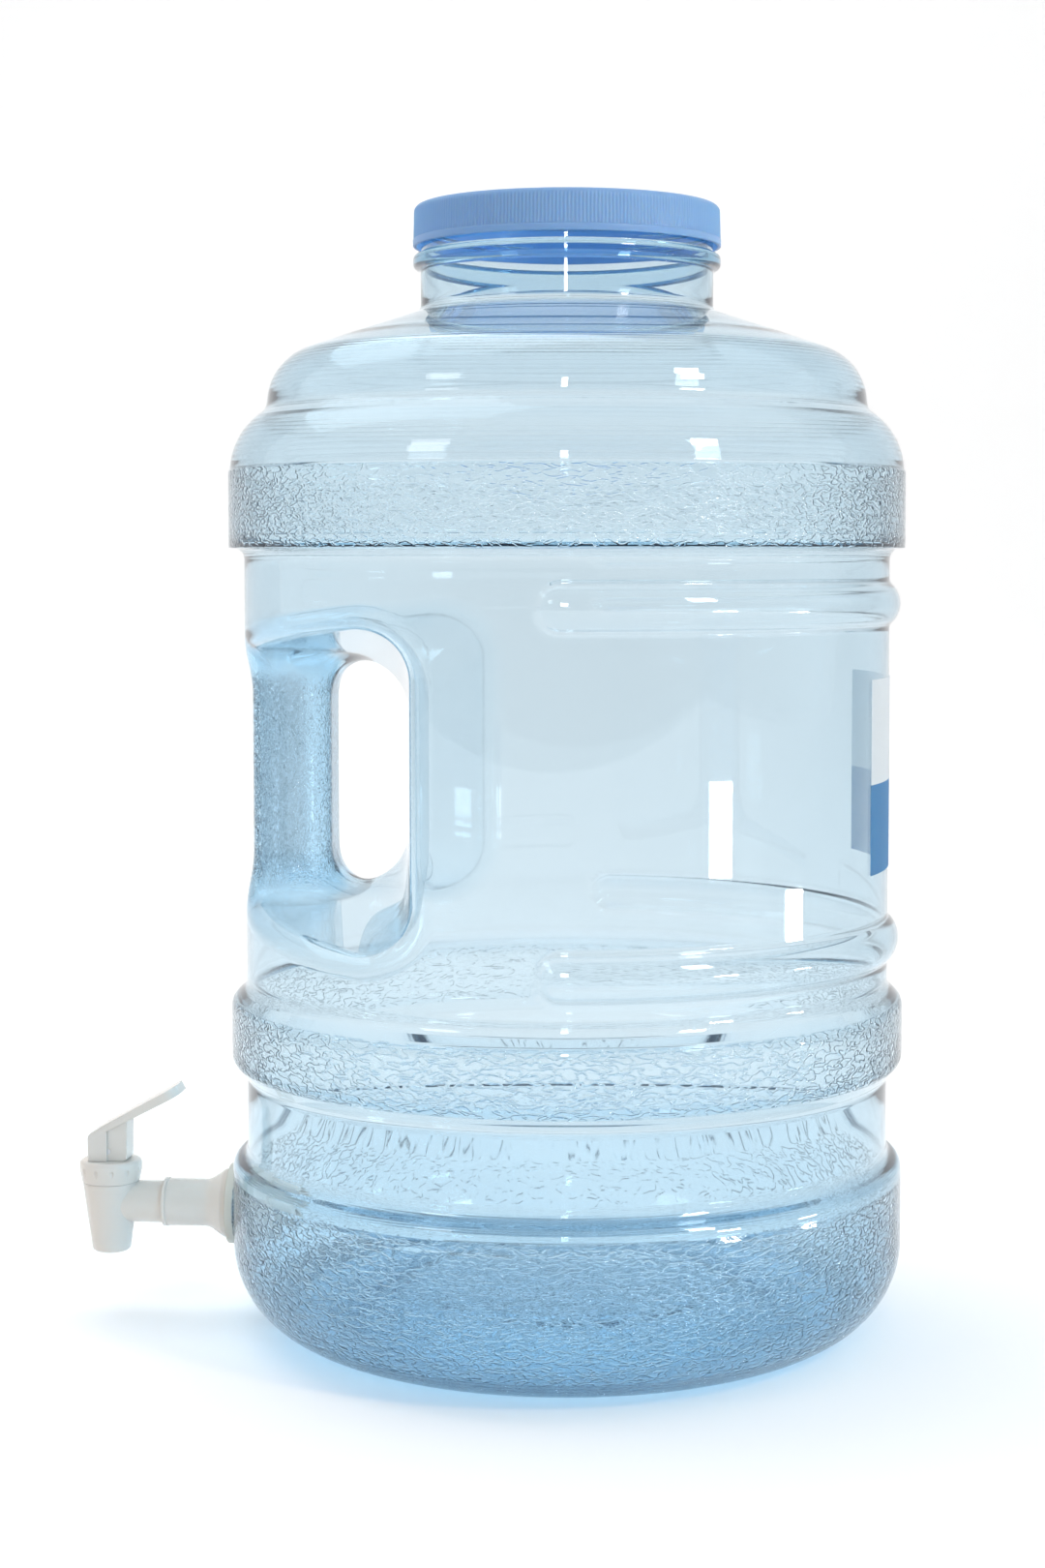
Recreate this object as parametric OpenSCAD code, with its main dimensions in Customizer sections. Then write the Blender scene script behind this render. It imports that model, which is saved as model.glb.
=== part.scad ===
// Wide-mouth drinking-water bottle with a moulded grip, a screw cap and a lever tap.
// Units are millimetres. Origin: centre of the base, on the plane it stands on.
// +Z is up, the grip and the tap are on the -X side and the label is on the +X side.

/* [Bottle] */
// Radius of the three proud bands
band_r = 135; // [130:0.5:140]
// Depth of the plain body behind the bands
band_step = 6; // [5:0.5:7]
// Thickness of the blown wall
wall = 1.8; // [1.4:0.1:2.2]
// Radius of the rounded heel
heel_r = 37; // [30:1:40]
// Height of the hollow under the base
push_up = 14; // [10:1:18]
// Height at which the straight body ends and the shoulder begins
shoulder_z = 345.3; // [340:0.1:350]
// Outer radius of the neck
neck_r = 58.4; // [57.5:0.1:59]
// Height of the rim of the mouth
rim_z = 447.2; // [447:0.1:450]

/* [Grip] */
// Height of the middle of the grip
grip_z = 224.5; // [220:0.5:230]
// Half height of the finger hole where the mould halves meet
hole_half_h = 44.7; // [40:0.1:48]
// Distance of the hole's inner wall from the bottle's axis
hole_x = 65; // [62:0.5:70]
// Outward lean of the pocket walls, as a slope
pocket_draft = 0.15; // [0.1:0.01:0.18]
// Width of the grip bar
grip_w = 42; // [36:1:46]
// Depth of the grip bar, from its back to the finger hole
grip_d = 33; // [30:0.5:36]

/* [Half ribs] */
// How far each half rib stands out
rib_h = 4.3; // [3:0.1:5]
// Width of each half rib
rib_w = 17; // [14:0.5:20]
// Heights of the two half ribs
rib_z = [159.6, 292.6];

/* [Cap] */
// Outer radius of the cap
cap_r = 61.4; // [61.2:0.1:62.5]
// Height of the cap
cap_h = 16.2; // [16:0.1:20]
// Thickness of the top panel
cap_top = 1.8; // [1.5:0.1:2.4]
// Rise in one turn of the neck thread
pitch = 5.08; // [4.8:0.02:5.3]

/* [Label] */
// Height of the label's lower edge
label_z = 188.5; // [180:0.5:195]
// Height of the label
label_h = 75.5; // [60:0.5:90]
// Angle that the label covers
label_angle = 44.8; // [30:0.1:60]

/* [Tap] */
// Height of the tap's inlet
tap_z = 45.1; // [42:0.1:48]
// Distance of the barrel's axis from the bottle's axis
barrel_x = 189.3; // [184:0.1:192]
// Radius of the hole in the bottle wall
wall_hole_r = 11.1; // [11:0.05:11.4]
// Height of the pivot pin above the bonnet
pin_rise = 4; // [3.6:0.1:5]
// Lift of the stem for each radian of lever tilt
lift_per_rad = 5.5; // [5:0.1:5.6]
// Largest tilt of the lever, in degrees
lever_travel = 28; // [20:1:28]

/* [Hidden] */
$fn = 96;

eps = 0.01;
gap = 0.05;                       // running or resting clearance between two pieces
body_r = band_r - band_step;
grip_r = body_r - 1.6;            // back of the grip, just inside the body
rim_in_r = neck_r - wall;

// Bands, from the base upwards
low_band_top = 70.8;
mid_band = [104.2, 134.6];
top_band_z = 314.4;

// Shoulder arcs
bulge_r = 28.5;
dome_r = 22.5;
dome_foot = [119.5, shoulder_z + 26.5];
dome_angle = 70.5;                // where the dome meets the cone up to the neck

// Neck finish
neck_z = 408.7;
bead_z = [424.2, 431.2];
bead_r = 61.4;
thread_root = 58.2;
thread_crest = 59.6;
neck_turns = 1.25;
thread_z = rim_z - 9.8;           // lower end of the neck thread

// Cap
cap_z = rim_z + 1.2 - cap_h + cap_top;
cap_in_r = 59.9;
seal_h = 1.15;

// Seat for the tap on the bottle wall
pad_r = 18.5;
pad_out = band_r + 0.2;
pad_in = band_r - 3.4;

// Tap, along its inlet
washer_t = 3.6;
flange_x = pad_out + washer_t + 2 * gap;   // inner face of the shank's flange
sleeve_end = 166.4;
shank_r = 10.95;
shank_end = 110;
socket_r = 7.3;
socket_x = 150;
waterway_r = 5;
arm_r = 8.5;

// Tap, up its barrel
barrel_z = 24.6;
barrel_top = 57;
seat_z = 35.2;
outlet_r = 6;
chamber_r = 7.8;
bonnet_z = [53.6, 62.7];
bonnet_r = 12.7;
bonnet_roof = 58.3;
stem_r = 2.4;
bulb_r = 3.2;
stem_collar = [40.1, 41.9];
pin_z = bonnet_z[1] + gap + pin_rise;
pin_r = 1.25;

// ---------- outlines ----------

function arc(c, r, a0, a1, n) = [for (i = [0:n]) let (a = a0 + (a1 - a0) * i / n) c + r * [cos(a), sin(a)]];

function unit(v) = v / norm(v);

// The arc that rounds corner p1 of the line p0, p1, p2 at radius r
function rounded(p0, p1, p2, r, n = 6) =
    let (a = unit(p0 - p1), b = unit(p2 - p1), half = acos(a * b) / 2,
         centre = p1 + unit(a + b) * r / sin(half),
         from = p1 + a * r / tan(half) - centre, to = p1 + b * r / tan(half) - centre,
         a0 = atan2(from[1], from[0]), turn = atan2(to[1], to[0]) - a0,
         sweep = turn > 180 ? turn - 360 : turn < -180 ? turn + 360 : turn)
    [for (i = [0:n]) centre + r * [cos(a0 + sweep * i / n), sin(a0 + sweep * i / n)]];

// A line through corners given as [x, y], or as [x, y, radius] where a corner is rounded
function rounded_line(c) =
    [for (i = [0:len(c) - 1]) let (p = [c[i][0], c[i][1]])
        each len(c[i]) < 3 ? [p]
            : rounded([c[i - 1][0], c[i - 1][1]], p, [c[i + 1][0], c[i + 1][1]], c[i][2])];

// The same line moved d to its left, with mitred corners
function shifted(line, d) =
    [for (i = [0:len(line) - 1])
        let (u = unit(line[min(i + 1, len(line) - 1)] - line[min(i, len(line) - 2)]),
             v = unit(line[max(i, 1)] - line[max(i - 1, 0)]),
             n = unit([-u[1] - v[1], u[0] + v[0]]))
        line[i] + n * d / (n * [-u[1], u[0]])];

// Outside of the bottle from the middle of the base up to the neck
function body_line() = concat(
    rounded_line([[0, push_up], [8, push_up], [62, push_up - 3, 12],
                  [band_r - heel_r - 12, 0, 5], [band_r - heel_r, 0]]),
    arc([band_r - heel_r, heel_r], heel_r, -84, 0, 14),
    rounded_line([[band_r, low_band_top - 12], [band_r, low_band_top, 5.2], [body_r, low_band_top, 0.6],
                  [body_r, mid_band[0], 2.5], [band_r, mid_band[0] + 7, 5], [band_r, mid_band[1]],
                  [body_r, mid_band[1] + 6, 7], [body_r, top_band_z - 6, 7], [band_r, top_band_z],
                  [band_r, shoulder_z]]),
    arc([band_r - 0.6 - bulge_r, shoulder_z - 1], bulge_r, 4, 61.7, 12),
    arc([dome_foot[0] - dome_r, dome_foot[1]], dome_r, 0, dome_angle, 12),
    rounded_line([[69, neck_z - 3.8], [neck_r, neck_z, 3], [neck_r, neck_z + 6]]));

// Outside of the neck above that: support bead, thread root and rim
function neck_line() = rounded_line([
    [neck_r, bead_z[0]], [bead_r, bead_z[0] + 1, 1.2], [bead_r, bead_z[1] - 1.6, 1.6],
    [thread_root, bead_z[1]], [thread_root, rim_z, 0.6], [rim_in_r, rim_z]]);

module outer_turning() {
    line = concat(body_line(), neck_line());
    rotate_extrude() polygon(concat([[0, rim_z]], line));
}

module inner_turning() {
    line = shifted(body_line(), wall);
    rotate_extrude() polygon(concat([[0, rim_z + 10]], line, [[rim_in_r, rim_z + 10]]));
}

// ---------- helical sweeps ----------

// Sweeps a closed section of [radius, height] points along a helix. With a run-out, in degrees, the section
// flattens towards the root radius at both ends.
module helix(section, rise, turns, steps, root = 0, runout = 0) {
    total = ceil(steps * turns);
    k = len(section);
    points = [for (i = [0:total])
              let (a = 360 * turns * i / total, left = min(a, 360 * turns - a),
                   end = runout == 0 ? 1 : min(1, left / runout + 0.05))
              for (p = section) let (r = root + (p[0] - root) * end)
              [r * cos(a), r * sin(a), p[1] + rise * a / 360]];
    sides = [for (i = [0:total - 1], j = [0:k - 1])
             let (a = i * k + j, b = i * k + (j + 1) % k) each [[a, b + k, a + k], [a, b, b + k]]];
    polyhedron(points, concat([[for (j = [k - 1:-1:0]) j]], sides, [[for (j = [0:k - 1]) total * k + j]]));
}

// ---------- bottle ----------

module half_rib(z, inset) {
    section_r = (pow(rib_w / 2, 2) + pow(rib_h, 2)) / (2 * rib_h);
    centre_r = body_r + rib_h - section_r;
    half_span = 90 - asin(rib_w / 2 / body_r);
    rotate([0, 0, -half_span]) rotate_extrude(angle = 2 * half_span)
        translate([centre_r, z]) circle(section_r - inset);
    for (side = [-1, 1]) rotate([0, 0, side * half_span])
        translate([centre_r, 0, z]) sphere(section_r - inset - eps);
}

// One half of the grip pocket. Its rounded outline leans outwards from the mould's parting plane.
module pocket_half(side, grow) {
    depth = body_r + 8;
    corner = 21;
    hull() for (y = [0, 1], x = [-200, -hole_x - corner], z = [-1, 1])
        translate([x + y * pocket_draft * depth, side * y * depth,
                   grip_z + z * (hole_half_h - corner + y * pocket_draft * depth)])
            rotate([90, 0, 0]) cylinder(r = corner + grow, h = eps, center = true, $fn = 48);
}

// Bar between the two pockets, with a round at each end of the finger hole
module grip_bar(inset) {
    corner = 13;
    half_len = hole_half_h + 26;
    back = grip_d - grip_r;
    end_r = 15;
    web_w = grip_w - 14;
    translate([0, 0, grip_z - half_len]) linear_extrude(2 * half_len) intersection() {
        circle(grip_r - inset);
        hull() for (x = [-grip_r - 6, back - corner], y = [-1, 1])
            translate([x, y * (grip_w / 2 - corner)]) circle(corner - inset, $fn = 48);
    }
    for (z = [-1, 1]) translate([back - 6, 0, grip_z + z * hole_half_h]) difference() {
        translate([0, inset - web_w / 2, z > 0 ? -end_r : -8])
            cube([end_r + 6 - inset, web_w - 2 * inset, end_r + 8]);
        translate([end_r + 6, 0, -z * end_r]) rotate([90, 0, 0])
            cylinder(r = end_r + inset, h = 2 * web_w, center = true);
    }
}

module outer_form() {
    difference() {
        union() {
            outer_turning();
            for (z = rib_z) half_rib(z, 0);
        }
        for (side = [-1, 1]) pocket_half(side, 0);
    }
    grip_bar(0);
    along_tap(pad_in, pad_out) cylinder(r = pad_r, h = pad_out - pad_in);
}

module inner_form() {
    difference() {
        union() {
            inner_turning();
            for (z = rib_z) half_rib(z, wall);
        }
        for (side = [-1, 1]) pocket_half(side, wall);
        along_tap(pad_in, pad_out) cylinder(r = pad_r, h = pad_out - pad_in);
    }
    grip_bar(wall);
}

module neck_thread() {
    translate([0, 0, thread_z])
        helix([[thread_root - 0.4, -1.4], [thread_crest, -0.55],
               [thread_crest, 0.55], [thread_root - 0.4, 1.4]],
              pitch, neck_turns, 48, thread_root - 0.4, 40);
}

module bottle() color([0.62, 0.80, 0.93, 0.45]) {
    difference() {
        union() {
            outer_form();
            neck_thread();
        }
        inner_form();
        along_tap(pad_in - 4, pad_out) cylinder(r = wall_hole_r, h = pad_out - pad_in + 8);
    }
}

// ---------- cap ----------

module screw_cap() color([0.55, 0.72, 0.93]) {
    top_z = cap_z + cap_h;
    union() {
        rotate_extrude() polygon(rounded_line([
            [0, top_z - cap_top], [cap_in_r, top_z - cap_top], [cap_in_r, cap_z], [cap_r, cap_z, 0.5],
            [cap_r, cap_z + 2, 0.2], [cap_r - 0.3, cap_z + 2.2], [cap_r - 0.5, top_z, 2.6], [0, top_z]]));
        translate([0, 0, thread_z - pitch / 4]) rotate([0, 0, 90])
            helix([[cap_in_r + 0.5, 1.3], [cap_in_r - 1.4, 0.5],
                   [cap_in_r - 1.4, -0.5], [cap_in_r + 0.5, -1.3]],
                  pitch, 0.9, 40, cap_in_r + 0.5, 30);
    }
}

// Flat ring between the rim and the top panel
module cap_seal() color([0.86, 0.90, 0.94]) {
    translate([0, 0, rim_z + 0.02]) difference() {
        cylinder(r = cap_in_r - 0.3, h = seal_h);
        translate([0, 0, -1]) cylinder(r = rim_in_r - 9, h = seal_h + 2);
    }
}

// ---------- label ----------

module label() color([0.95, 0.96, 0.97]) {
    film = 0.2;
    rotate([0, 0, 1.9 - label_angle / 2]) rotate_extrude(angle = label_angle)
        translate([body_r + 0.02, label_z]) square([film, label_h]);
}

// ---------- tap ----------

// Places a shape that is drawn up +Z so that it runs along the tap's inlet, outwards from x = -from
module along_tap(from, to = 0) translate([-from, 0, tap_z]) rotate([0, -90, 0]) children();

module at_barrel() translate([-barrel_x, 0, 0]) children();

module tube(r, hole, from, to) difference() {
    translate([0, 0, from]) cylinder(r = r, h = to - from);
    translate([0, 0, from - 1]) cylinder(r = hole, h = to - from + 2);
}

// Flanged sleeve that passes through the bottle wall and holds the tap's arm
module mounting_shank() color([0.93, 0.93, 0.91]) {
    flange_r = 13.8;
    sleeve_r = 9.65;
    along_tap(0) difference() {
        rotate_extrude() polygon(concat(
            [[0, shank_end], [shank_r - 0.8, shank_end], [shank_r, shank_end + 0.8], [shank_r, flange_x],
             [flange_r, flange_x]],
            rounded_line([[flange_r, flange_x + 0.5], [flange_r, flange_x + 2.4, 0.8],
                          [sleeve_r, flange_x + 8.5, 6], [sleeve_r, sleeve_end - 1.6]]),
            [[sleeve_r + 0.3, sleeve_end - 1.5], [sleeve_r + 0.3, sleeve_end], [0, sleeve_end]]));
        translate([0, 0, socket_x]) cylinder(r = socket_r, h = 30);
        translate([0, 0, shank_end - 1]) cylinder(r = 6, h = socket_x - shank_end + 2);
    }
}

module outer_washer() color([0.84, 0.88, 0.86])
    along_tap(0) tube(16.3, shank_r + gap, pad_out + gap, pad_out + gap + washer_t);

module inner_washer() color([0.84, 0.88, 0.86])
    along_tap(0) tube(16, shank_r + gap, pad_in - 2.6, pad_in - gap);

module lock_nut() color([0.93, 0.93, 0.91]) {
    across_corners = 34;
    height = 8.5;
    start = pad_in - 2.7 - height;
    along_tap(0) difference() {
        translate([0, 0, start]) cylinder(d = across_corners, h = height, $fn = 6);
        translate([0, 0, start - 1]) cylinder(r = shank_r + gap, h = height + 2);
    }
}

// Barrel with its nozzle, and the arm that plugs into the shank
module tap_body() color([0.95, 0.95, 0.93]) {
    plug_end = socket_x + 1;
    groove_x = socket_x + 6;
    difference() {
        union() {
            at_barrel() rotate_extrude() polygon(concat(
                [[0, barrel_z]],
                rounded_line([[5.4, barrel_z], [7.7, barrel_z, 2], [11.4, bonnet_z[0] - 1.2, 0.4],
                              [11.4, bonnet_z[0] - 0.1]]),
                [[10.2, bonnet_z[0] - 0.1], [10.2, barrel_top], [0, barrel_top]]));
            along_tap(sleeve_end + gap) cylinder(r = arm_r, h = barrel_x - sleeve_end);
            along_tap(plug_end) cylinder(r = socket_r - gap, h = barrel_x - plug_end);
        }
        at_barrel() {
            translate([0, 0, seat_z]) cylinder(r = chamber_r, h = 40);
            cylinder(r = outlet_r, h = seat_z - 1.5);
            cylinder(r = outlet_r - 1.2, h = seat_z + 1);
        }
        along_tap(socket_x) cylinder(r = waterway_r, h = barrel_x - socket_x);
        along_tap(0) tube(socket_r + 1, socket_r - 1.4, groove_x, groove_x + 2.2);
    }
}

module arm_o_ring() color([0.25, 0.25, 0.26])
    along_tap(socket_x + 7.1) rotate_extrude() translate([socket_r - 0.72, 0]) circle(0.66, $fn = 32);

// Cap nut on top of the barrel, with grip flutes
module bonnet() color([0.96, 0.96, 0.94]) {
    flutes = 12;
    at_barrel() difference() {
        rotate_extrude() polygon(rounded_line([
            [stem_r + 0.5, bonnet_z[1]], [stem_r + 0.5, bonnet_roof],
            [10.3, bonnet_roof], [10.3, bonnet_z[0]], [bonnet_r - 1, bonnet_z[0], 0.4],
            [bonnet_r, bonnet_z[1] - 4, 4], [bonnet_r, bonnet_z[1], 1.8],
            [stem_r + 0.5, bonnet_z[1]]]));
        for (i = [0:flutes - 1]) rotate([0, 0, (i + 0.5) * 360 / flutes])
            translate([bonnet_r + 0.25, 0, bonnet_z[0] - 1]) cylinder(r = 0.7, h = 7, $fn = 24);
    }
}

// Silicone bell: its rim is clamped under the bonnet and its foot closes the seat
module seat_cup() color([0.78, 0.83, 0.85]) {
    at_barrel() rotate_extrude() polygon([
        [0, seat_z + 0.4], [3.8, seat_z + 0.4], [5.6, seat_z + gap], [6.6, seat_z + gap], [7, seat_z + 3],
        [7, barrel_top - 1], [7.4, barrel_top + gap], [10, barrel_top + gap], [10, bonnet_roof - gap],
        [6, bonnet_roof - gap], [5.9, stem_collar[0] - gap], [stem_r + gap, stem_collar[0] - gap],
        [stem_r + gap, seat_z + 4], [bulb_r + gap, seat_z + 4],
        [bulb_r + gap, seat_z + 2], [0, seat_z + 2]]);
}

module valve_stem() color([0.93, 0.93, 0.91]) {
    top = pin_z + 3.6;
    at_barrel() difference() {
        union() {
            translate([0, 0, seat_z + 3]) cylinder(r = stem_r, h = top - seat_z - 3);
            translate([0, 0, seat_z + 2 + gap]) cylinder(r = bulb_r, h = 2 - 2 * gap);
            translate([0, 0, stem_collar[0]]) cylinder(r = 5.4, h = stem_collar[1] - stem_collar[0]);
        }
        translate([0, 0, pin_z]) rotate([90, 0, 0]) cylinder(r = pin_r + 0.02, h = 20, center = true);
    }
}

// Compression spring between the stem's collar and the bonnet
module valve_spring() color([0.75, 0.76, 0.78]) {
    wire = 0.45;
    coil_r = 4.7;
    turns = 5.5;
    length = bonnet_roof - stem_collar[1] - 2 * gap;
    at_barrel() translate([0, 0, stem_collar[1] + gap + wire])
        helix([for (a = [0:45:315]) [coil_r - wire * cos(a), wire * sin(a)]],
              (length - 2 * wire) / turns, turns, 24);
}

module lever_pin() color([0.80, 0.81, 0.82])
    at_barrel() translate([0, 0, pin_z]) rotate([90, 0, 0]) cylinder(r = pin_r, h = 11.6, center = true);

// Rolling cam under the lever: an involute, so that the stem's lift is proportional to the tilt
function cam_line() = [for (i = [0:8])
    let (a = lever_travel * i / 8, lift = lift_per_rad * a * PI / 180)
    (pin_rise + lift) * [sin(a), -cos(a)] + lift_per_rad * [cos(a), sin(a)]];

// Lever: a block on the pin, and a paddle that leans up and widens to its tip
module lever() color([0.95, 0.95, 0.92]) {
    cheek_w = 14;
    core_w = 11.6;
    tip_w = 19;
    back = -7.9;
    top = [0, 11.8];
    tip = [28.8, 27.8];
    slope = atan2(tip[1] - top[1], tip[0] - top[0]);
    reach = norm(tip - top);
    tip_corner = 5;
    at_barrel() translate([0, 0, pin_z]) difference() {
        union() {
            rotate([90, 0, 0]) linear_extrude(cheek_w, center = true) polygon(concat(
                [[back, -pin_rise], [top[0], -pin_rise], top],
                arc([back + 2.4, 5.6], 2.4, 120, 180, 4)));
            rotate([90, 0, 0]) linear_extrude(core_w, center = true) polygon(concat(
                [[back + 1, -pin_rise]], cam_line(), [[8.2, 14.4], [top[0], 9]]));
            translate([top[0], 0, top[1]]) rotate([0, -slope, 0]) hull() {
                translate([-3, -cheek_w / 2, -2.8]) cube([4, cheek_w, 2.8]);
                for (y = [-1, 1]) translate([reach - tip_corner, y * (tip_w / 2 - tip_corner), -3.6])
                    cylinder(r = tip_corner, h = 3.6, $fn = 32);
            }
        }
        translate([-5.4, -stem_r - 0.3, -pin_rise - 1]) cube([10.8, 2 * stem_r + 0.6, pin_rise + 6]);
        rotate([90, 0, 0]) cylinder(r = pin_r + gap, h = 11.8, center = true);
    }
}

bottle();
screw_cap();
cap_seal();
label();
mounting_shank();
outer_washer();
inner_washer();
lock_nut();
tap_body();
arm_o_ring();
bonnet();
seat_cup();
valve_stem();
valve_spring();
lever_pin();
lever();
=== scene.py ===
"""Looks of a clear blue wide-mouth water bottle with a moulded grip, a ribbed cap and a lever tap."""
import itertools
import math

import bmesh
import bpy
import numpy as np
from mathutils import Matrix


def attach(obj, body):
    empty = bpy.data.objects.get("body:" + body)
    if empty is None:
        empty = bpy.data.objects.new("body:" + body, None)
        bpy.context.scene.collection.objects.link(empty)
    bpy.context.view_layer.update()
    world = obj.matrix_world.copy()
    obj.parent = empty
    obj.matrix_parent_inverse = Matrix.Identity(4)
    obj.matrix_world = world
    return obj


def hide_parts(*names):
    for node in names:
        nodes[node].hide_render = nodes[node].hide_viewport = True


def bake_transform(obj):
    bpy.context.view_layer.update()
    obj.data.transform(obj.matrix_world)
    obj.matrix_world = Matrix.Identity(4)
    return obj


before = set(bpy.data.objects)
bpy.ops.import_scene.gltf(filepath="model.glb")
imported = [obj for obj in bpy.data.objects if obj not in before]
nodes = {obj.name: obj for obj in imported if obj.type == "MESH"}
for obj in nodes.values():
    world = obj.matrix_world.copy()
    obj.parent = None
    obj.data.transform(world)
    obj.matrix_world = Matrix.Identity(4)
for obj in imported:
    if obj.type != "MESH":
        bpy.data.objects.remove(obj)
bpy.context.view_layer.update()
MM = 0.001

# ---------- sizes, in millimetres ----------

BAND, BODY, HEEL = 135.0, 129.0, 37.0       # radii of the bands, of the plain body and of the heel's round
NECK, MOUTH, BEAD = 58.4, 58.2, 61.4        # radii of the neck, of its threaded end and of its bead
WALL = 1.8
SHOULDER, RIM_Z = 345.3, 447.2              # heights of the top band's upper edge and of the rim
SPLIT = (145.0, 305.0)                      # heights of the plain zone with the ribs and the grip
SEAT = (135.2, 131.6)                       # outer and inner face of the flat seat for the tap
SEAT_Z, SEAT_R = 45.1, 19.4
RIBS = (159.6, 292.6)                       # heights of the two half ribs
GRIP_Z, GRIP_R = 224.5, 127.4               # middle height and outer radius of the grip's bar
CAP_BORE, CAP_ROOF = 59.9, RIM_Z + 1.2      # inner radius of the cap, and height of its inner ceiling


# ---------- outlines, as (radius, height) ----------

def unit(v):
    return v / np.linalg.norm(v)


def arc(centre, r, a0, a1, n):
    return [np.array(centre, float) + r * np.array([math.cos(a), math.sin(a)])
            for a in np.radians(np.linspace(a0, a1, n + 1))]


def rounded_line(corners, n=5):
    """A line through corners given as (x, y), or as (x, y, radius) where a corner is rounded."""
    line = []
    for i, c in enumerate(corners):
        p = np.array(c[:2], float)
        if len(c) < 3:
            line.append(p)
            continue
        a = unit(np.array(corners[i - 1][:2]) - p)
        b = unit(np.array(corners[i + 1][:2]) - p)
        half = math.acos(np.clip(a @ b, -1, 1)) / 2
        centre = p + unit(a + b) * c[2] / math.sin(half)
        start = p + a * c[2] / math.tan(half) - centre
        end = p + b * c[2] / math.tan(half) - centre
        a0 = math.atan2(start[1], start[0])
        turn = (math.atan2(end[1], end[0]) - a0 + math.pi) % (2 * math.pi) - math.pi
        line += [centre + c[2] * np.array([math.cos(t), math.sin(t)])
                 for t in a0 + turn * np.linspace(0, 1, n + 1)]
    return line


def resampled(line, step):
    """Points along the line, about a step apart."""
    line = np.array(line)
    along = np.append(0, np.cumsum(np.linalg.norm(np.diff(line, axis=0), axis=1)))
    at = np.linspace(0, along[-1], math.ceil(along[-1] / step) + 1)
    return np.stack([np.interp(at, along, line[:, 0]), np.interp(at, along, line[:, 1])], 1)


def inside_of(line):
    """The inner face of the blown wall: moved in by its thickness, softer, and thicker in the base."""
    spacing, passes, most_bend, longest = 0.6, 24, 0.06, 8
    line = resampled(line, spacing)
    step = np.gradient(line, axis=0)
    step /= np.linalg.norm(step, axis=1)[:, None]
    d = WALL + 1.2 * np.clip((72 - line[:, 1]) / 40, 0, 1)
    moved = line + np.stack([-step[:, 1], step[:, 0]], 1) * d[:, None]
    near = np.array([np.linalg.norm(line - p, axis=1).min() for p in moved])
    moved = resampled(moved[near > d - 0.12], spacing)
    for _ in range(passes):
        moved[1:-1] = (moved[:-2] + 2 * moved[1:-1] + moved[2:]) / 4
    kept = [0]
    for i in range(1, len(moved) - 1):
        a, b = moved[kept[-1] + 1] - moved[kept[-1]], moved[i + 1] - moved[i]
        bend = math.acos(np.clip(unit(a) @ unit(b), -1, 1))
        if bend > most_bend or np.linalg.norm(moved[i] - moved[kept[-1]]) > longest:
            kept.append(i)
    return moved[kept + [len(moved) - 1]]


def supported(line):
    """The line with a point just inside both ends of each long step, so that flat faces are shaded flat."""
    out = [np.array(line[0])]
    for q in np.array(line[1:]):
        p = out[-1]
        gap = np.linalg.norm(q - p)
        if gap > 0.6:
            out += [p + (q - p) * 0.1 / gap, q - (q - p) * 0.1 / gap]
        out.append(q)
    return np.array(out)


def lower_line():
    """From the middle of the base up to the plain zone: hollow base, heel, lower and middle band."""
    return (rounded_line([(1.0, 14), (62, 11, 12), (86, 0, 5), (98, 0, 2), (101.9, 0.2)])[:-1]
            + arc((BAND - HEEL, HEEL), HEEL, -84, 0, 18)
            + rounded_line([(BAND, 50), (BAND, 58), (BAND, 69.6, 5.0), (BODY, 72.6, 4.6), (BODY, 88),
                            (BODY, 104.2, 4.5), (BAND, 111.2, 5), (BAND, 124), (BAND, 134.6, 6),
                            (BODY, 140.6, 6), (BODY, 144.5)], 6))


def upper_line():
    """From the plain zone up to the neck: top band, rounded shoulder, step and dome."""
    dome, dome_r, round_r = (119.5, SHOULDER + 26.5), 22.5, 28.5
    return (rounded_line([(BODY, 305.6), (BODY, 313.8, 4.2), (BAND, 314.4, 0.35),
                          (BAND, 322), (BAND, 338), (BAND, SHOULDER - 0.8, 1.5), (134.4, SHOULDER + 0.4)])
            + arc((BAND - 0.6 - round_r, SHOULDER - 1), round_r, 4, 54, 11)
            + rounded_line([(122.6, 367.4), (120.0, 369.3, 5.5), (119.3, 374.9)], 6)[1:-1]
            + arc((dome[0] - dome_r, dome[1]), dome_r, 8, 70.5, 12)
            + rounded_line([(88, 398.8), (69, 405.0), (NECK, 408.7, 3.5), (NECK, 416), (NECK, 423.0)])[:-1])


def neck_line():
    """From the neck over its bead, the threaded end and the rim, and a little way down inside."""
    threaded = [(MOUTH, z) for z in np.arange(433.0, 447.0, 0.45)]
    return (rounded_line([(NECK, 423.0), (NECK, 424.6, 1.0), (BEAD, 425.6, 2.1), (BEAD, 430.4, 2.1),
                          (MOUTH, 431.4, 0.6), (MOUTH, 432.5)])
            + threaded + rounded_line([(MOUTH, RIM_Z - 0.1), (MOUTH - 0.6, RIM_Z, 0.3),
                                       (NECK - WALL, RIM_Z, 0.7), (NECK - WALL, 443)]))


# ---------- bottle shape ----------

def smin(a, b, k):
    """The smaller of two fields, with a rounding of size k where they cross."""
    h = np.maximum(k - np.abs(a - b), 0) / k
    return np.minimum(a, b) - h * h * k / 4


def smax(a, b, k):
    return -smin(-a, -b, k)


def rib(r, ang, z, height):
    """Distance to a half rib: a round bar around the +X side with rounded ends."""
    thick, proud, span = 10.55, 4.3, math.radians(86.2)
    middle = BODY + proud - thick
    over = np.maximum(np.abs(ang) - span, 0)
    dx = r * np.cos(over) - middle
    dy = r * np.sin(over)
    return np.sqrt(dx * dx + dy * dy + (z - height) ** 2) - thick


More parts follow.
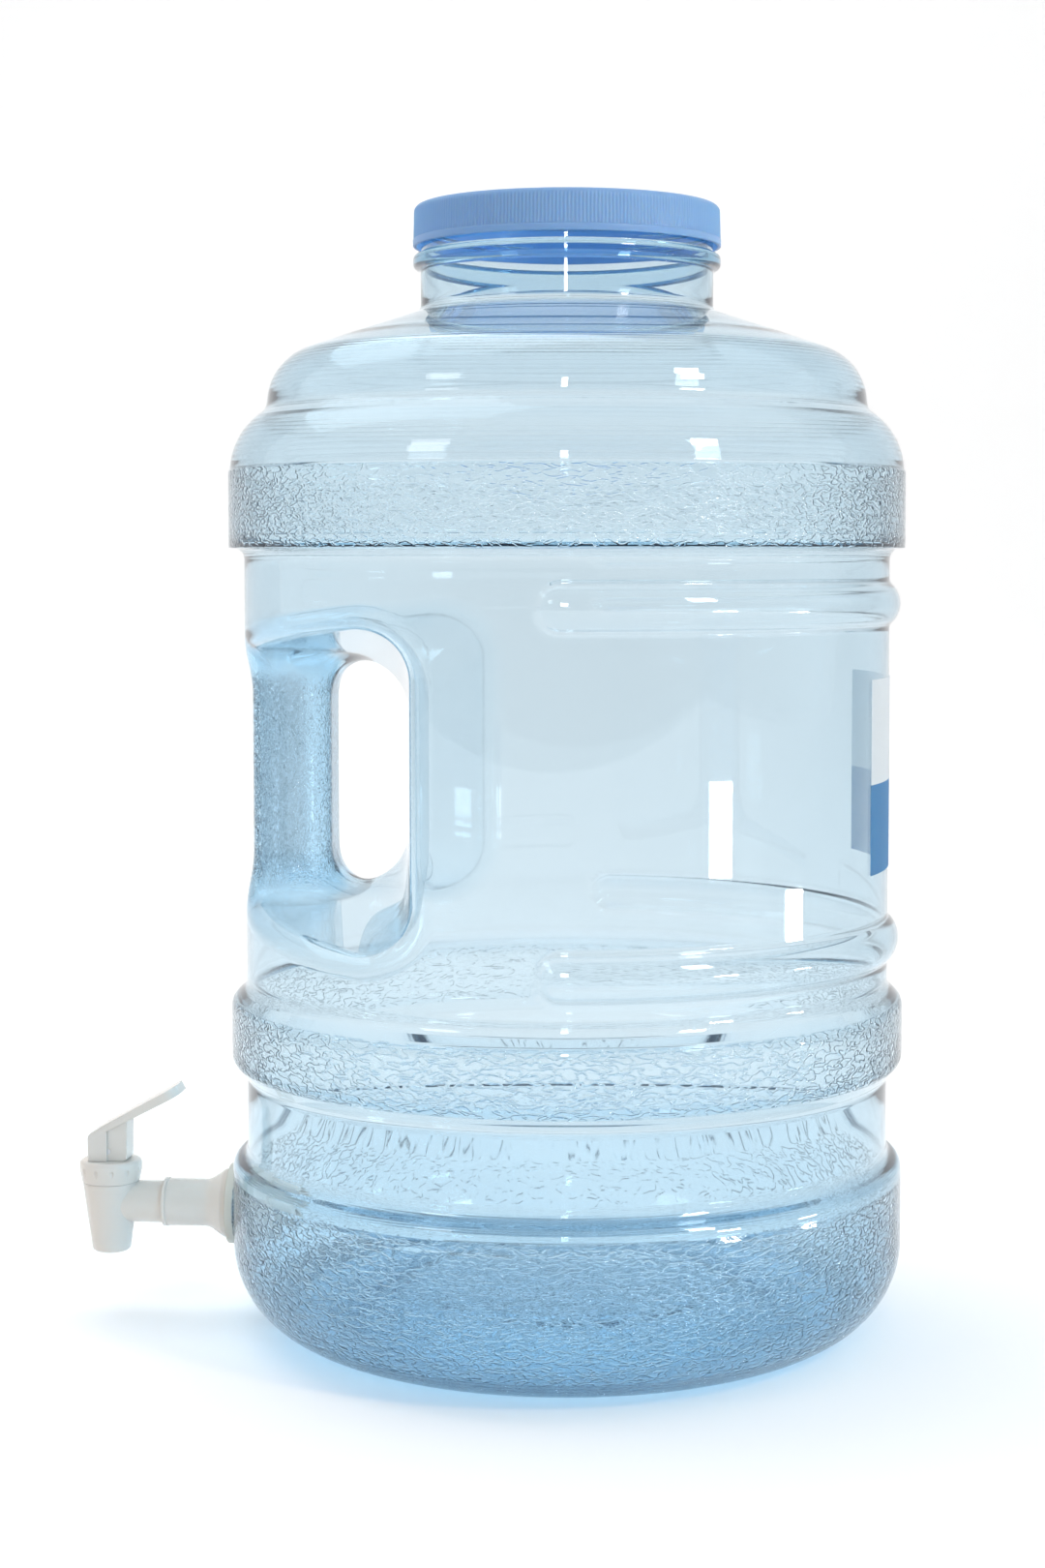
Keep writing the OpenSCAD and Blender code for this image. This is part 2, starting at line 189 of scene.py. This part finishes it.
def rounded_corner(u, v, radius):
    """Distance to a square corner with a rounded tip. u and v start at the middle of the rounding."""
    return np.minimum(np.maximum(u, v), 0) + np.hypot(np.maximum(u, 0), np.maximum(v, 0)) - radius


def body_distance(r, t, z, soft):
    """Signed distance, in mm, to the wall between the heights SPLIT: a cylinder with two ribs and the grip.

    t is the angle from +X, and soft rounds the foot of the ribs."""
    x, y = r * np.cos(t), r * np.sin(t)
    d = r - BODY
    ang = (t + np.pi) % (2 * np.pi) - np.pi
    for height in RIBS:
        d = smin(d, rib(r, ang, z, height), soft)
    # the two pockets get wider outwards from the middle plane, where they meet
    lean, corner = 0.15 * np.sqrt(y * y + 9), 21.0
    right, top = -65 + lean, 44.7 + lean
    pocket = rounded_corner(x - (right - corner), np.abs(z - GRIP_Z) - (top - corner), corner)
    pocket *= 0.989             # the lean makes the distance that much too large
    # the bar of the grip, which stands in them
    front, half_width, edge = 94.6, 21.5, 14
    bar = rounded_corner(x + front + edge, np.abs(y) - (half_width - edge), edge)
    bar = smax(bar, r - GRIP_R, 7)
    void = smax(pocket, -bar, 17)
    return smax(d, -void, 7)


def net_points(field, inside, axes, cells):
    """For each cell of a grid, the sum and the number of the points where the surface crosses its edges."""
    total = np.zeros((*cells, 3))
    count = np.zeros(cells)
    for axis, o1, o2 in itertools.product(range(3), (0, 1), (0, 1)):
        low = [o1, o2]
        low.insert(axis, 0)
        high = [o + (d == axis) for d, o in enumerate(low)]
        lo = tuple(slice(o, o + size) for o, size in zip(low, cells))
        hi = tuple(slice(o, o + size) for o, size in zip(high, cells))
        a, b = field[lo], field[hi]
        cross = inside[lo] != inside[hi]
        share = np.where(cross, a / np.where(cross, a - b, 1), 0)
        for d in range(3):
            shape = [1, 1, 1]
            shape[d] = -1
            value = axes[d][lo[d]].reshape(shape)
            if d == axis:
                value = value + share * (axes[d][hi[d]] - axes[d][lo[d]]).reshape(shape)
            total[..., d] += np.where(cross, value, 0)
        count += cross
    return total, count


def net_quads(inside, index, cells):
    """One quad around each edge of the grid that the surface crosses. The grid is closed in angle."""
    quads = []
    for axis in range(3):
        others = [d for d in range(3) if d != axis]
        size = [cells[0], inside.shape[1], inside.shape[2]]
        size[axis] = cells[axis]
        ranges = [np.arange(s) for s in size]
        for d in others:
            if d > 0:
                ranges[d] = ranges[d][1:-1]
        grid = np.stack(np.meshgrid(*ranges, indexing="ij"), -1).reshape(-1, 3)
        step = np.zeros(3, int)
        step[axis] = 1
        grid = grid[inside[tuple(grid.T)] != inside[tuple((grid + step).T)]]
        ring = []
        for o1, o2 in ((0, 0), (1, 0), (1, 1), (0, 1)):
            cell = grid.copy()
            cell[:, others[0]] -= o1
            cell[:, others[1]] -= o2
            cell[:, 0] %= cells[0]
            ring.append(index[tuple(cell.T)])
        quads.append(np.stack(ring, 1))
    return np.concatenate(quads)


def surface_net(field, t, r, z):
    """Vertices and quads of the zero surface of a field sampled on a ring grid (angle, radius, height)."""
    closed = np.concatenate([field, field[:1]], 0)
    inside = closed < 0
    cells = (len(t), len(r) - 1, len(z) - 1)
    total, count = net_points(closed, inside, (np.append(t, t[0] + 2 * np.pi), r, z), cells)
    used = count > 0
    index = np.full(cells, -1)
    index[used] = np.arange(used.sum())
    return total[used] / count[used][:, None], net_quads(inside, index, cells)


def ring_angles():
    """Column angles from +X, finer over the half with the grip and the ends of the ribs."""
    fine = math.radians(206)
    a = math.pi - fine / 2 + np.arange(236) * fine / 236
    b = math.pi + fine / 2 + np.arange(84) * (2 * math.pi - fine) / 84
    return np.concatenate([a, b])


def with_seat(r, ang, z, plane, outer):
    """Radius of the wall where the flat round seat for the tap interrupts it."""
    away = ang - math.pi
    flat = plane / np.maximum(np.cos(away), 0.2)
    rho = np.hypot(r * np.sin(away), z - SEAT_Z)
    edge = 1.6
    w = np.clip((SEAT_R - rho) / edge, 0, 1) * (np.cos(away) > 0)
    w = w * w * (3 - 2 * w)
    return r + w * ((np.maximum(r, flat) if outer else np.minimum(r, flat)) - r)


def with_thread(r, ang, z):
    """Radius of the neck with its thread of one and a quarter turns."""
    turns, pitch, start = 1.25, 5.08, 437.4
    depth, half_width, flank = 1.4, 1.4, 0.85
    for lap in (0, 1):
        turn = ang / (2 * math.pi) + lap
        end = np.clip(np.minimum(turn, turns - turn) * 9, 0, 1)
        r = r + depth * end * np.clip((half_width - np.abs(z - start - pitch * turn)) / flank, 0, 1)
    return r


def make_mesh(name, verts, faces):
    mesh = bpy.data.meshes.new(name)
    mesh.from_pydata(np.asarray(verts).tolist(), [], [list(map(int, f)) for f in faces])
    mesh.update()
    ob = bpy.data.objects.new(name, mesh)
    bpy.context.scene.collection.objects.link(ob)
    mesh.polygons.foreach_set("use_smooth", [True] * len(mesh.polygons))
    return ob


def face_outwards(ob):
    bm = bmesh.new()
    bm.from_mesh(ob.data)
    bmesh.ops.recalc_face_normals(bm, faces=bm.faces)
    bm.to_mesh(ob.data)
    bm.free()


def body_field(p, soft):
    return body_distance(np.hypot(p[:, 0], p[:, 1]), np.arctan2(p[:, 1], p[:, 0]), p[:, 2], soft)


def slope(p, soft, e=0.05):
    """Direction and rate of the steepest rise of body_field at points given as x, y, z."""
    rise = [body_field(p + e * a, soft) - body_field(p - e * a, soft) for a in np.eye(3)]
    g = np.stack(rise, 1) / (2 * e)
    size = np.linalg.norm(g, axis=1)[:, None]
    return g / size, size


class Shell:
    """The bottle's vertices, normals and faces, which are added part by part."""

    def __init__(self, angles):
        self.angles = angles
        self.verts, self.normals, self.faces = [], [], []
        self.count = 0

    def add(self, verts, normals):
        """Adds vertices and returns the number of the first one."""
        self.verts.append(verts)
        self.normals.append(normals)
        self.count += len(verts)
        return self.count - len(verts)

    def join(self, a, b):
        """Adds the faces between two rings of vertices."""
        self.faces.append(np.stack([a, np.roll(a, -1), np.roll(b, -1), b], 1))

    def rings(self, line, shape=None):
        """Adds a ring for each point of a line, and joins them. Returns the first and the last ring."""
        n = len(self.angles)
        made = []
        for radius, height in line:
            r = np.full(n, radius)
            if shape:
                r = shape(r, self.angles, height)
            verts = np.stack([r * np.cos(self.angles), r * np.sin(self.angles), np.full(n, height)], 1)
            made.append(self.add(verts, np.zeros((n, 3))) + np.arange(n))
            if len(made) > 1:
                self.join(made[-2], made[-1])
        return made[0], made[-1]


def add_plain_zone(shell, t, level, side, soft):
    """Adds one face of the zone with the ribs and the grip. Returns its lowest and its highest ring."""
    r = np.arange(50.0, 137.1, 1.6)
    z = np.concatenate([np.arange(SPLIT[0], 172, 1.2), np.arange(172, 204, 1.8), np.arange(204, 245, 3.2),
                        np.arange(245, 280, 1.8), np.linspace(280, SPLIT[1], 22)])
    p, quads = surface_net(body_distance(r[None, :, None], t[:, None, None], z, soft) - level, t, r, z)
    xyz = np.stack([p[:, 1] * np.cos(p[:, 0]), p[:, 1] * np.sin(p[:, 0]), p[:, 2]], 1)
    for _ in range(2):
        outwards, rate = slope(xyz, soft)
        xyz -= outwards * np.clip((body_field(xyz, soft) - level)[:, None] / rate, -0.6, 0.6)
    first = shell.add(xyz, slope(xyz, soft)[0] * side)
    shell.faces.append(quads + first)
    ends = []
    for height in (p[:, 2].min(), p[:, 2].max()):
        edge = np.where(np.abs(p[:, 2] - height) < 0.01)[0]
        ends.append(first + edge[np.argsort(p[edge, 0] % (2 * np.pi))])
    return ends


def around_tap(line):
    """The line with close steps over the height of the tap's seat."""
    at = [i for i, p in enumerate(line) if p[0] > 120 and 22 < p[1] < 68]
    a, b = at[0] - 1, at[-1] + 1
    return np.concatenate([line[:a], resampled(line[a:b + 1], 1.6), line[b + 1:]])


def build_bottle():
    """The closed shell of the bottle: its outer and its inner face, which meet inside the neck."""
    t = ring_angles()
    halfway = t + np.diff(np.append(t, t[0] + 2 * np.pi)) / 2
    shell = Shell(np.sort(halfway % (2 * np.pi)))
    outer_ends = add_plain_zone(shell, t, 0.0, 1, 0.8)
    inner_ends = add_plain_zone(shell, t, -WALL, -1, 3.0)
    low, high = np.array(lower_line()), np.array(upper_line())
    out_low = shell.rings(around_tap(supported(low)), lambda r, a, z: with_seat(r, a, z, SEAT[0], True))
    shell.join(out_low[1], outer_ends[0])
    in_low = shell.rings(around_tap(inside_of(low)), lambda r, a, z: with_seat(r, a, z, SEAT[1], False))
    shell.join(in_low[1], inner_ends[0])
    # the thread is on the outer face only, more than 58 mm from the axis
    out_high = shell.rings(supported(np.concatenate([high, neck_line()])),
                           lambda r, a, z: with_thread(r, a, z) if r[0] > 58 else r)
    shell.join(outer_ends[1], out_high[0])
    in_high = shell.rings(inside_of(np.concatenate([high, [(NECK, 436)]])))
    shell.join(inner_ends[1], in_high[0])
    shell.join(out_high[1], in_high[1])
    faces = list(np.concatenate(shell.faces)) + [list(out_low[0]), list(in_low[0])]
    ob = make_mesh("bottle_shell", np.concatenate(shell.verts) * MM, faces)
    face_outwards(ob)
    ob.data.normals_split_custom_set_from_vertices(np.concatenate(shell.normals).tolist())
    return ob


# ---------- materials ----------

def new_material(name):
    mat = bpy.data.materials.new(name)
    mat.use_nodes = True
    nt = mat.node_tree
    return mat, nt, nt.nodes["Principled BSDF"], nt.nodes["Material Output"]


def tune(n, **values):
    """Sets a node's inputs. An underscore stands for a space in an input's name."""
    for key, value in values.items():
        n.inputs[key.replace("_", " ")].default_value = value


def node(nt, kind, **values):
    n = nt.nodes.new(kind)
    tune(n, **values)
    return n


def math_node(nt, op, a, b=None):
    """A math node's result. Each of a and b is a number or a socket."""
    n = nt.nodes.new("ShaderNodeMath")
    n.operation = op
    for i, v in enumerate((a, b)):
        if v is None:
            continue
        if isinstance(v, (int, float)):
            n.inputs[i].default_value = v
        else:
            nt.links.new(v, n.inputs[i])
    return n.outputs[0]


def times(nt, a, b):
    return math_node(nt, "MULTIPLY", a, b)


def minus(nt, a, b):
    return math_node(nt, "SUBTRACT", a, b)


def most(nt, a, b):
    return math_node(nt, "MAXIMUM", a, b)


def less(nt, a, b):
    """1 where a is below b, else 0."""
    return math_node(nt, "LESS_THAN", a, b)


def length(nt, a, b):
    return math_node(nt, "SQRT", math_node(nt, "ADD", times(nt, a, a), times(nt, b, b)))


def position(nt):
    """The shaded point, in metres: as a vector, and as its x, y and z."""
    geo = nt.nodes.new("ShaderNodeNewGeometry")
    xyz = nt.nodes.new("ShaderNodeSeparateXYZ")
    nt.links.new(geo.outputs["Position"], xyz.inputs[0])
    return geo.outputs["Position"], xyz.outputs


def mixed(nt, share, first, second, kind="RGBA", inputs=(6, 7), output=2):
    """first where share is 0 and second where it is 1. Each is a value or a socket."""
    n = nt.nodes.new("ShaderNodeMix")
    n.data_type = kind
    nt.links.new(share, n.inputs[0])
    for i, v in zip(inputs, (first, second)):
        if isinstance(v, tuple):
            n.inputs[i].default_value = v
        else:
            nt.links.new(v, n.inputs[i])
    return n.outputs[output]


def band(nt, value, low, high, soft):
    """1 where value is between low and high, falling to 0 over soft."""
    up = node(nt, "ShaderNodeMapRange", From_Min=low - soft, From_Max=low)
    down = node(nt, "ShaderNodeMapRange", From_Min=high, From_Max=high + soft, To_Min=1.0, To_Max=0.0)
    nt.links.new(value, up.inputs["Value"])
    nt.links.new(value, down.inputs["Value"])
    return times(nt, up.outputs[0], down.outputs[0])


def on_bands(nt, z, radius):
    """1 on the outer face of the middle band and of the top band."""
    heights = most(nt, band(nt, z, 0.1085, 0.1345, 0.0015), band(nt, z, 0.3148, 0.3446, 0.0003))
    return times(nt, heights, band(nt, radius, 0.1341, 0.2, 0.0003))


def grained(nt, x, y, z, radius, bands, underneath):
    """How deep the mould's grain is, from 0 to 1: on heel and base, the bands, and the back of the grip."""
    heel, foot = HEEL * MM, (BAND - HEEL) * MM
    across = minus(nt, most(nt, radius, foot), foot)
    down = minus(nt, math_node(nt, "MINIMUM", z, heel), heel)
    bowl = most(nt, less(nt, heel - 0.001, length(nt, across, down)), less(nt, radius, foot))
    bowl = times(nt, bowl, band(nt, z, 0.0, 0.063, 0.002))
    grip = times(nt, band(nt, z, 0.185, 0.259, 0.008), band(nt, x, -0.2, -0.0945, 0.001))
    grip = times(nt, times(nt, grip, band(nt, radius, 0.0, 0.1276, 0.0006)), 0.55)
    depth = most(nt, most(nt, bowl, bands), grip)
    # it is softer on the smooth panel of the heel, underneath, and on the far side
    panel = times(nt, band(nt, x, -0.052, 0.036, 0.0015), band(nt, z, 0.040, 0.060, 0.0015))
    panel = times(nt, panel, less(nt, y, 0.0))
    far_side = band(nt, y, 0.0, 1.0, 0.03)
    for mask, softer in ((panel, 0.55), (underneath, 0.5), (far_side, 0.5)):
        depth = times(nt, depth, minus(nt, 1.0, times(nt, mask, softer)))
    return depth


def creases(nt, place, x, y, z, depth, underneath):
    """The normal of thin wavy creases about 2 mm apart: around the bottle, and any way underneath."""
    radius, stretch = 0.132, 0.42
    around = nt.nodes.new("ShaderNodeCombineXYZ")
    nt.links.new(times(nt, math_node(nt, "ARCTAN2", y, x), radius * stretch), around.inputs[0])
    nt.links.new(z, around.inputs[2])
    noise = node(nt, "ShaderNodeTexNoise", Scale=420.0, Detail=1.0, Roughness=0.5, Distortion=0.5)
    nt.links.new(mixed(nt, underneath, around.outputs[0], place, "VECTOR", (4, 5), 1),
                 noise.inputs["Vector"])
    crease = node(nt, "ShaderNodeMapRange", From_Max=0.075)
    crease.interpolation_type = "SMOOTHSTEP"
    nt.links.new(math_node(nt, "ABSOLUTE", minus(nt, noise.outputs[0], 0.5)), crease.inputs["Value"])
    bump = node(nt, "ShaderNodeBump", Strength=1.0, Distance=0.00031)
    nt.links.new(times(nt, crease.outputs[0], depth), bump.inputs["Height"])
    return bump.outputs[0]


def clear_to_lamps(nt, p, out):
    """Lets lamps and the sky reach the floor and the inner parts through the wall."""
    path = nt.nodes.new("ShaderNodeLightPath")
    clear = node(nt, "ShaderNodeBsdfTransparent", Color=(0.96, 0.985, 0.995, 1))
    mix = nt.nodes.new("ShaderNodeMixShader")
    nt.links.new(path.outputs["Is Shadow Ray"], mix.inputs[0])
    nt.links.new(p.outputs[0], mix.inputs[1])
    nt.links.new(clear.outputs[0], mix.inputs[2])
    nt.links.new(mix.outputs[0], out.inputs["Surface"])


def bottle_material():
    """Clear blue plastic, tinted at its faces and through the depth of the wall, with a faint painted blue
    glow.
    """
    mat, nt, p, out = new_material("bottle_tint")
    tune(p, Roughness=0.02, IOR=1.52, Transmission_Weight=1.0)
    place, (x, y, z) = position(nt)
    radius = length(nt, x, y)
    bands = on_bands(nt, z, radius)
    underneath = band(nt, radius, -1.0, 0.112, 0.012)
    depth = grained(nt, x, y, z, radius, bands, underneath)
    nt.links.new(creases(nt, place, x, y, z, depth, underneath), p.inputs["Normal"])
    # a deeper tint in the base, which is thick, and in the upper bands; over the grip a deeper blue, partly
    # for its folded plastic and partly painted shade where the bar meets the body
    deep = most(nt, band(nt, z, -0.1, 0.050, 0.03), times(nt, bands, 0.6))
    # grip zone: tint for the folded plastic, plus painted shade at the top and bottom of the pocket
    fold_tint_and_shade = times(nt, band(nt, z, 0.172, 0.277, 0.012), band(nt, x, -0.2, -0.093, 0.006))
    tone = mixed(nt, deep, (0.94, 0.94, 0.94, 1), (0.85, 0.91, 0.945, 1))
    tone = mixed(nt, fold_tint_and_shade, tone, (0.82, 0.905, 0.96, 1))
    nt.links.new(tone, p.inputs["Base Color"])
    # a faint painted glow: blue emission over all of the bottle's faces, though the bottle is no lamp
    tune(p, Emission_Color=(0.10, 0.38, 0.75, 1), Emission_Strength=0.007)
    absorb = node(nt, "ShaderNodeVolumeAbsorption", Color=(0.02, 0.56, 0.81, 1), Density=100.0)
    nt.links.new(absorb.outputs[0], out.inputs["Volume"])
    clear_to_lamps(nt, p, out)
    return mat


def plastic(name, colour, rough, bevel=0.0005, subsurface=0.0, depth=0.002, reach=(1.0, 0.9, 0.8)):
    """Moulded plastic with a faint grain. bevel rounds the shading of sharp edges."""
    mat, nt, p, _ = new_material(name)
    tune(p, Base_Color=(*colour, 1), Roughness=rough, IOR=1.48)
    if subsurface:
        tune(p, Subsurface_Weight=subsurface, Subsurface_Radius=reach, Subsurface_Scale=depth)
    noise = node(nt, "ShaderNodeTexNoise", Scale=900.0, Detail=2.0)
    nt.links.new(position(nt)[0], noise.inputs["Vector"])
    bump = node(nt, "ShaderNodeBump", Strength=0.15, Distance=0.00003)
    nt.links.new(noise.outputs[0], bump.inputs["Height"])
    if bevel:
        edge = node(nt, "ShaderNodeBevel", Radius=bevel)
        edge.samples = 4
        nt.links.new(edge.outputs[0], bump.inputs["Normal"])
    nt.links.new(bump.outputs[0], p.inputs["Normal"])
    return mat


def paint_cap_glow(mat):
    """Paints a blue glow on the inner faces of the thin cap, in place of the light that comes through it.
    """
    nt = mat.node_tree
    p = nt.nodes["Principled BSDF"]
    _, (x, y, z) = position(nt)
    in_bore = less(nt, length(nt, x, y), CAP_BORE * MM + 0.00013)
    inner = times(nt, in_bore, less(nt, z, CAP_ROOF * MM + 0.0006))
    # painted glow: blue emission on the cap's inner faces, standing in for light that comes through the
    # plastic
    tune(p, Emission_Color=(0.07, 0.27, 0.58, 1))
    nt.links.new(times(nt, inner, 0.4), p.inputs["Emission Strength"])


def label_material():
    """Printed film: white above, blue below."""
    mat, nt, p, _ = new_material("label_film")
    _, (_, _, z) = position(nt)
    below = less(nt, z, 0.2235)
    nt.links.new(mixed(nt, below, (0.50, 0.54, 0.56, 1), (0.03, 0.125, 0.27, 1)), p.inputs["Base Color"])
    tune(p, Roughness=0.6, Specular_IOR_Level=0.2)
    tune(p, Subsurface_Weight=0.8, Subsurface_Radius=(1.0, 1.0, 1.0), Subsurface_Scale=0.002)
    return mat


def steel(name):
    mat, _, p, _ = new_material(name)
    tune(p, Base_Color=(0.62, 0.63, 0.65, 1), Metallic=1.0, Roughness=0.28)
    return mat


# ---------- cap ----------

def build_cap():
    """The cap with a plain lip, fine upright ribs and a rounded top edge."""
    ribs, per = 264, 4
    rib_depth, hub = 0.42, 20
    n = ribs * per
    ang = np.arange(n) * 2 * np.pi / n
    wave = np.cos(ang * ribs) * 0.5 + 0.5
    base, top = RIM_Z + 3.0 - 16.2, RIM_Z + 3.0
    outline = rounded_line([(CAP_BORE, base + 0.2), (60.1, base, 0.2), (61.4, base, 0.5),
                            (61.4, base + 2.6, 0.3), (61.0, base + 2.9)], 3)
    ribbed = rounded_line([(61.2, base + 3.0), (61.0, top - 4.0), (60.9, top, 2.6), (52, top)], 6)
    inner = [(40, top), (hub, top), (hub, CAP_ROOF), (CAP_BORE, CAP_ROOF), (CAP_BORE, top - 5)]
    line = [(p, 0.0) for p in outline]
    for p in ribbed:
        drop = np.clip((top - p[1] - 0.6) / 2.2, 0, 1) if p[0] > 55 else 0.0
        line.append((p, rib_depth * drop))
    line += [(np.array(p), 0.0) for p in inner]
    verts, faces, lids = [], [], []
    i = np.arange(n)
    for k, (p, depth) in enumerate(line):
        r = p[0] - depth * (1 - wave)
        verts.append(np.stack([r * np.cos(ang), r * np.sin(ang), np.full(n, p[1])], 1))
        following = (k + 1) % len(line)
        if p[0] == hub:
            lids.append(list(k * n + i))
        if p[0] != hub or line[following][0][0] != hub:
            a, b = k * n, following * n
            faces.append(np.stack([a + i, a + (i + 1) % n, b + (i + 1) % n, b + i], 1))
    ob = make_mesh("cap_ribbed", np.concatenate(verts) * MM, list(np.concatenate(faces)) + lids)
    face_outwards(ob)
    return ob


# ---------- the pieces ----------

tint = bottle_material()
white = plastic("tap_white", (0.70, 0.66, 0.61), 0.20, bevel=0.0006, subsurface=0.15)
cap_blue = plastic("cap_blue", (0.19, 0.35, 0.60), 0.40, bevel=0, subsurface=0.6, depth=0.004,
                   reach=(0.3, 0.6, 1.0))
paint_cap_glow(cap_blue)
silicone = plastic("silicone", (0.57, 0.53, 0.46), 0.45, bevel=0.0008, subsurface=0.3)
black = plastic("black_rubber", (0.02, 0.02, 0.022), 0.5, bevel=0)
foam = plastic("seal_foam", (0.20, 0.42, 0.80), 0.6, bevel=0)
metal = steel("steel")
looks = {"mounting_shank": white, "lock_nut": white, "tap_body": white, "bonnet": white,
         "valve_stem": white, "lever": white, "outer_washer": silicone, "inner_washer": silicone,
         "seat_cup": silicone, "arm_o_ring": black, "cap_seal": foam, "label": label_material(),
         "valve_spring": metal, "lever_pin": metal, "bottle": tint, "screw_cap": cap_blue}
for name, mat in looks.items():
    ob = nodes[name]
    ob.data.materials.clear()
    ob.data.materials.append(mat)


def stands_for(ob, cad_name):
    """Shows a piece instead of a CAD node, with the node's material."""
    ob.data.materials.append(looks[cad_name])
    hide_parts(cad_name)


def stretching(name, cad_name):
    """A soft part of the valve between the bonnet and the stem's collar, which in the real tap shortens as
    the stem lifts: shown here by a copy of the CAD node's mesh.
    """
    mesh = nodes[cad_name].data
    ob = make_mesh(name, [v.co[:] for v in mesh.vertices], [p.vertices[:] for p in mesh.polygons])
    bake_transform(ob)
    stands_for(ob, cad_name)


bottle = build_bottle()
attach(bottle, "container")
stands_for(bottle, "bottle")
cap = build_cap()
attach(cap, "cap")
stands_for(cap, "screw_cap")
stretching("valve_bell", "seat_cup")
stretching("spring_coil", "valve_spring")


# ---------- studio ----------

def build_floor():
    """White floor that sweeps up behind the bottle and glows a little in the distance."""
    start, sweep, gap = 1.2, 0.8, 0.0003
    line = [(-3.0, 0.0), (start, 0.0)]
    line += [(start + sweep * math.sin(a), sweep - sweep * math.cos(a))
             for a in np.radians(np.arange(6, 91, 6))]
    line.append((start + sweep, 4.0))
    verts = [(x, y, z - gap) for x in (-4.0, 4.0) for y, z in line]
    k = len(line)
    faces = [(i, i + 1, k + i + 1, k + i) for i in range(k - 1)]
    ob = make_mesh("floor", verts, faces)
    mat, nt, p, _ = new_material("floor_white")
    tune(p, Base_Color=(0.93, 0.93, 0.93, 1), Roughness=0.9, Specular_IOR_Level=0.1)
    far = nt.nodes.new("ShaderNodeVectorMath")
    far.operation = "LENGTH"
    nt.links.new(position(nt)[0], far.inputs[0])
    glow = node(nt, "ShaderNodeMapRange", From_Min=0.3, From_Max=2.2, To_Min=0.06, To_Max=0.18)
    nt.links.new(far.outputs["Value"], glow.inputs["Value"])
    tune(p, Emission_Color=(1, 1, 1, 1))
    nt.links.new(glow.outputs[0], p.inputs["Emission Strength"])
    ob.data.materials.append(mat)
    return ob


def area(name, size, place, look, power):
    """A white rectangular lamp at a place, turned to look at a point. power is in watts."""
    data = bpy.data.lights.new(name, "AREA")
    data.shape = "RECTANGLE"
    data.size, data.size_y = size
    data.energy = power
    ob = bpy.data.objects.new(name, data)
    ob.location = place
    d = np.array(look, float) - np.array(place, float)
    tilt, azimuth = math.acos(-d[2] / np.linalg.norm(d)), math.atan2(d[1], d[0]) - math.pi / 2
    ob.rotation_euler = (tilt, 0, azimuth)
    bpy.context.scene.collection.objects.link(ob)
    return ob


def build_sky():
    """Even white light, weaker from the side of the camera."""
    world = bpy.data.worlds.new("studio")
    bpy.context.scene.world = world
    world.use_nodes = True
    nt = world.node_tree
    sky = nt.nodes["Background"]
    coord = nt.nodes.new("ShaderNodeTexCoord")
    sep = nt.nodes.new("ShaderNodeSeparateXYZ")
    nt.links.new(coord.outputs["Generated"], sep.inputs[0])
    ramp = node(nt, "ShaderNodeMapRange", From_Min=-0.9, From_Max=0.3, To_Min=0.35, To_Max=1.0)
    nt.links.new(sep.outputs[1], ramp.inputs["Value"])
    nt.links.new(ramp.outputs[0], sky.inputs["Strength"])
    tune(sky, Color=(1, 1, 1, 1))


def build_camera():
    """The photograph's view: from the -Y side, a little from the right and above the middle."""
    turn, pitch, far, height = math.radians(4.8), math.radians(3.55), 1.082, 0.3123
    data = bpy.data.cameras.new("camera")
    data.sensor_fit = "VERTICAL"
    data.sensor_height = 36
    data.lens = 61.69
    data.shift_x = -0.0284
    data.shift_y = -0.0407
    data.clip_end = 20
    cam = bpy.data.objects.new("camera", data)
    cam.location = (far * math.sin(turn), -far * math.cos(turn), height)
    cam.rotation_euler = (math.pi / 2 - pitch, 0, turn)
    bpy.context.scene.collection.objects.link(cam)
    bpy.context.scene.camera = cam


floor = build_floor()
top = area("top", (1.6, 1.6), (-0.7, 0.5, 1.8), (0, 0, 0), 15)
top.visible_glossy = False
area("right_low", (0.16, 0.07), (0.92, -0.62, 0.11), (0, 0, 0.15), 1.4)
area("right_side", (0.15, 0.045), (1.097, -0.077, 0.04), (0, 0, 0.12), 0.9)
area("right_high", (0.20, 0.30), (0.95, -0.75, 0.95), (0, 0, 0.35), 5.0)
area("left_high", (0.30, 0.30), (-0.85, -0.95, 0.9), (0, 0, 0.35), 1.0)
area("front", (0.06, 0.36), (0.10, -1.45, 0.70), (0, 0, 0.42), 1.6)
build_sky()
build_camera()

scene = bpy.context.scene
scene.view_settings.view_transform = "Standard"
scene.cycles.max_bounces = 24
scene.cycles.transmission_bounces = 24
scene.cycles.transparent_max_bounces = 16
scene.cycles.caustics_refractive = True
scene.cycles.sample_clamp_indirect = 8.0
scene.cycles.use_denoising = True
